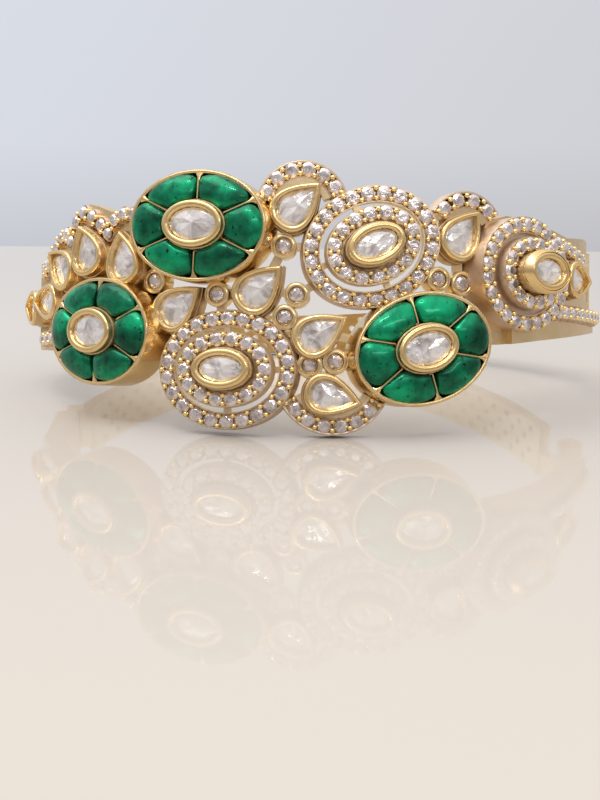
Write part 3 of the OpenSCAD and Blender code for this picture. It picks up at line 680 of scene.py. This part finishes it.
def pave_row(stones, places, face):
    for turn, height in places:
        s = Setting(turn, height)
        stones.brilliant(s, 0, 0, face + STONE_RISE, ARM_R)
        # each cup is in the dimmer gold, painted shade
        seats.loops(s, [(oval(r, r, n=20), face + z) for r, z in CUP], cap=(True, True))
    for (t0, h0), (t1, h1) in zip(places, places[1:]):
        lean = math.degrees(math.atan2(h1 - h0, (t1 - t0) * MM_PER_DEGREE)) % 180
        s = Setting((t0 + t1) / 2, (h0 + h1) / 2, lean)
        for off in PAIR:
            beads.bead(s, 0, off, face + ARM_BEAD_RISE, face - ARM_FOOT)


for key, s in FLOWERS.items():
    flower(key, s)
for key, h in HALOS.items():
    halo(key, h)
for p in PEARS:
    pear_setting(p)
round_settings()

crest_stones = Build()
for c in CRESTS:
    crest(crest_stones, c)
mesh("cut_crests", crest_stones, [SPARK], smooth=0, replaces=["pave_crests"])

for name, rows in ARM_ROWS.items():
    arm_stones = Build()
    for places, face in rows:
        pave_row(arm_stones, places, face)
    mesh("cut_" + name, arm_stones, [SPARK], smooth=0, replaces=[name])

# the bezels' outer walls are in the darker gold, painted shade
mesh("bezels", bezels, [GOLD, WALL_SHADE])
# the rims' second material is the paler gold, painted reflection on the halos' edges and the crests'
# walls
mesh("rims", rims, [GOLD, PALE_REFLECTION])
# the beads are in the brighter gold, painted light
mesh("beads", beads, [BRIGHT_LIT])
# the beds are in the dimmer gold, painted shade
mesh("seats", seats, [DIM_SHADE])

# Camera of the photograph: focal length and height of the picture, place and turns
FOCAL_PX, TALL_PX, SENSOR = 1300, 800, 36
CAMERA_X, CAMERA_Y, CAMERA_Z = 0.505, -157.56, 28.35
PITCH, ROLL, YAW = math.radians(11.206), math.radians(0.488), math.radians(-0.772)


def photo_camera():
    data = bpy.data.cameras.new("camera")
    data.sensor_width = SENSOR
    data.lens = FOCAL_PX / TALL_PX * SENSOR
    data.clip_start = 0.01
    camera = bpy.data.objects.new("camera", data)
    bpy.context.scene.collection.objects.link(camera)
    ahead = Vector((math.sin(YAW) * math.cos(PITCH), math.cos(YAW) * math.cos(PITCH), -math.sin(PITCH)))
    right = Vector((math.cos(YAW), -math.sin(YAW), 0))
    up = right.cross(ahead)
    rolled_right = math.cos(ROLL) * right + math.sin(ROLL) * up
    rolled_up = -math.sin(ROLL) * right + math.cos(ROLL) * up
    place = Matrix((rolled_right, rolled_up, -ahead)).transposed().to_4x4()
    place.translation = Vector((CAMERA_X - CENTRE_X, CAMERA_Y - CENTRE_Y, CAMERA_Z)) / 1000
    camera.matrix_world = place
    bpy.context.scene.camera = camera


# Table with a glossy top: half width, near and far edges, and height
TABLE_HALF, TABLE_NEAR, TABLE_FAR, TABLE_Z = 1500, -1200, 197, -0.05


def lay_table():
    material, tree, shader = new_material("table", {"Roughness": 0.03, "IOR": 1.14})
    haze = noise(tree, scale=3, detail=2, rough=0.5)
    tone = ramp(tree, [(0.3, (0.51, 0.464, 0.41)), (0.7, (0.53, 0.483, 0.427))], haze)
    tree.links.new(tone, shader.inputs["Base Color"])
    far = TABLE_FAR - CENTRE_Y
    corners = [(-TABLE_HALF, TABLE_NEAR), (TABLE_HALF, TABLE_NEAR), (TABLE_HALF, far),
               (-TABLE_HALF, far)]
    data = bpy.data.meshes.new("table")
    data.from_pydata([Vector((x, y, TABLE_Z)) / 1000 for x, y in corners], [], [[0, 1, 2, 3]])
    data.materials.append(material)
    table = bpy.data.objects.new("table", data)
    bpy.context.scene.collection.objects.link(table)


# Pale room, from a dim floor to a bright ceiling, with its colours behind the bangle and
# in front of it; those behind are tinted from left to right
BACK = [(0.0, (0.3, 0.28, 0.27)), (0.44, (0.5, 0.51, 0.55)), (0.5, (0.66, 0.69, 0.76)),
        (0.62, (0.68, 0.72, 0.79)), (1.0, (1.5, 1.5, 1.55))]
FRONT = [(0.0, (0.26, 0.22, 0.19)), (0.5, (0.36, 0.33, 0.31)), (0.66, (0.54, 0.54, 0.56)),
         (1.0, (1.5, 1.5, 1.55))]
ACROSS = [(0.0, (1.07, 1.07, 1.07)), (1.0, (0.92, 0.88, 0.83))]


def light_room():
    world = bpy.data.worlds.new("room")
    bpy.context.scene.world = world
    world.use_nodes = True
    tree = world.node_tree
    place = tree.nodes.new("ShaderNodeTexCoord")
    split = tree.nodes.new("ShaderNodeSeparateXYZ")
    tree.links.new(place.outputs["Generated"], split.inputs["Vector"])

    def span(axis, low, high):
        node = tree.nodes.new("ShaderNodeMapRange")
        node.inputs["From Min"].default_value = low
        node.inputs["From Max"].default_value = high
        tree.links.new(split.outputs[axis], node.inputs["Value"])
        return node.outputs["Result"]

    up = span("Z", -1, 1)
    across = ramp(tree, ACROSS, span("X", -0.4, 0.4))
    back = mixed(tree, ramp(tree, BACK, up), across, "MULTIPLY")
    colour = mixed(tree, ramp(tree, FRONT, up), back, factor=span("Y", -0.35, 0.45))
    background = tree.nodes["Background"]
    tree.links.new(colour, background.inputs["Color"])
    background.inputs["Strength"].default_value = 1.0


def area(name, at, to, size, size_y, power):
    light = bpy.data.lights.new(name, "AREA")
    light.shape = "RECTANGLE"
    light.size, light.size_y = size, size_y
    light.energy = power
    lamp = bpy.data.objects.new(name, light)
    lamp.location = at
    lamp.rotation_euler = (Vector(to) - Vector(at)).to_track_quat("-Z", "Y").to_euler()
    bpy.context.scene.collection.objects.link(lamp)


photo_camera()
lay_table()
light_room()

# Lights, in metres: a broad key from above left, and two small ones for glints
area("key", at=(-0.3, -0.06, 0.8), to=(0, 0.02, 0.01), size=0.8, size_y=0.6, power=3.0)
area("strip", at=(0.14, -0.32, 0.2), to=(0, 0, 0.01), size=0.22, size_y=0.03, power=0.1)
area("spark", at=(-0.06, -0.26, 0.42), to=(0, 0, 0.01), size=0.13, size_y=0.022, power=0.3)

scene = bpy.context.scene
scene.view_settings.view_transform = "Standard"
scene.view_settings.look = "None"
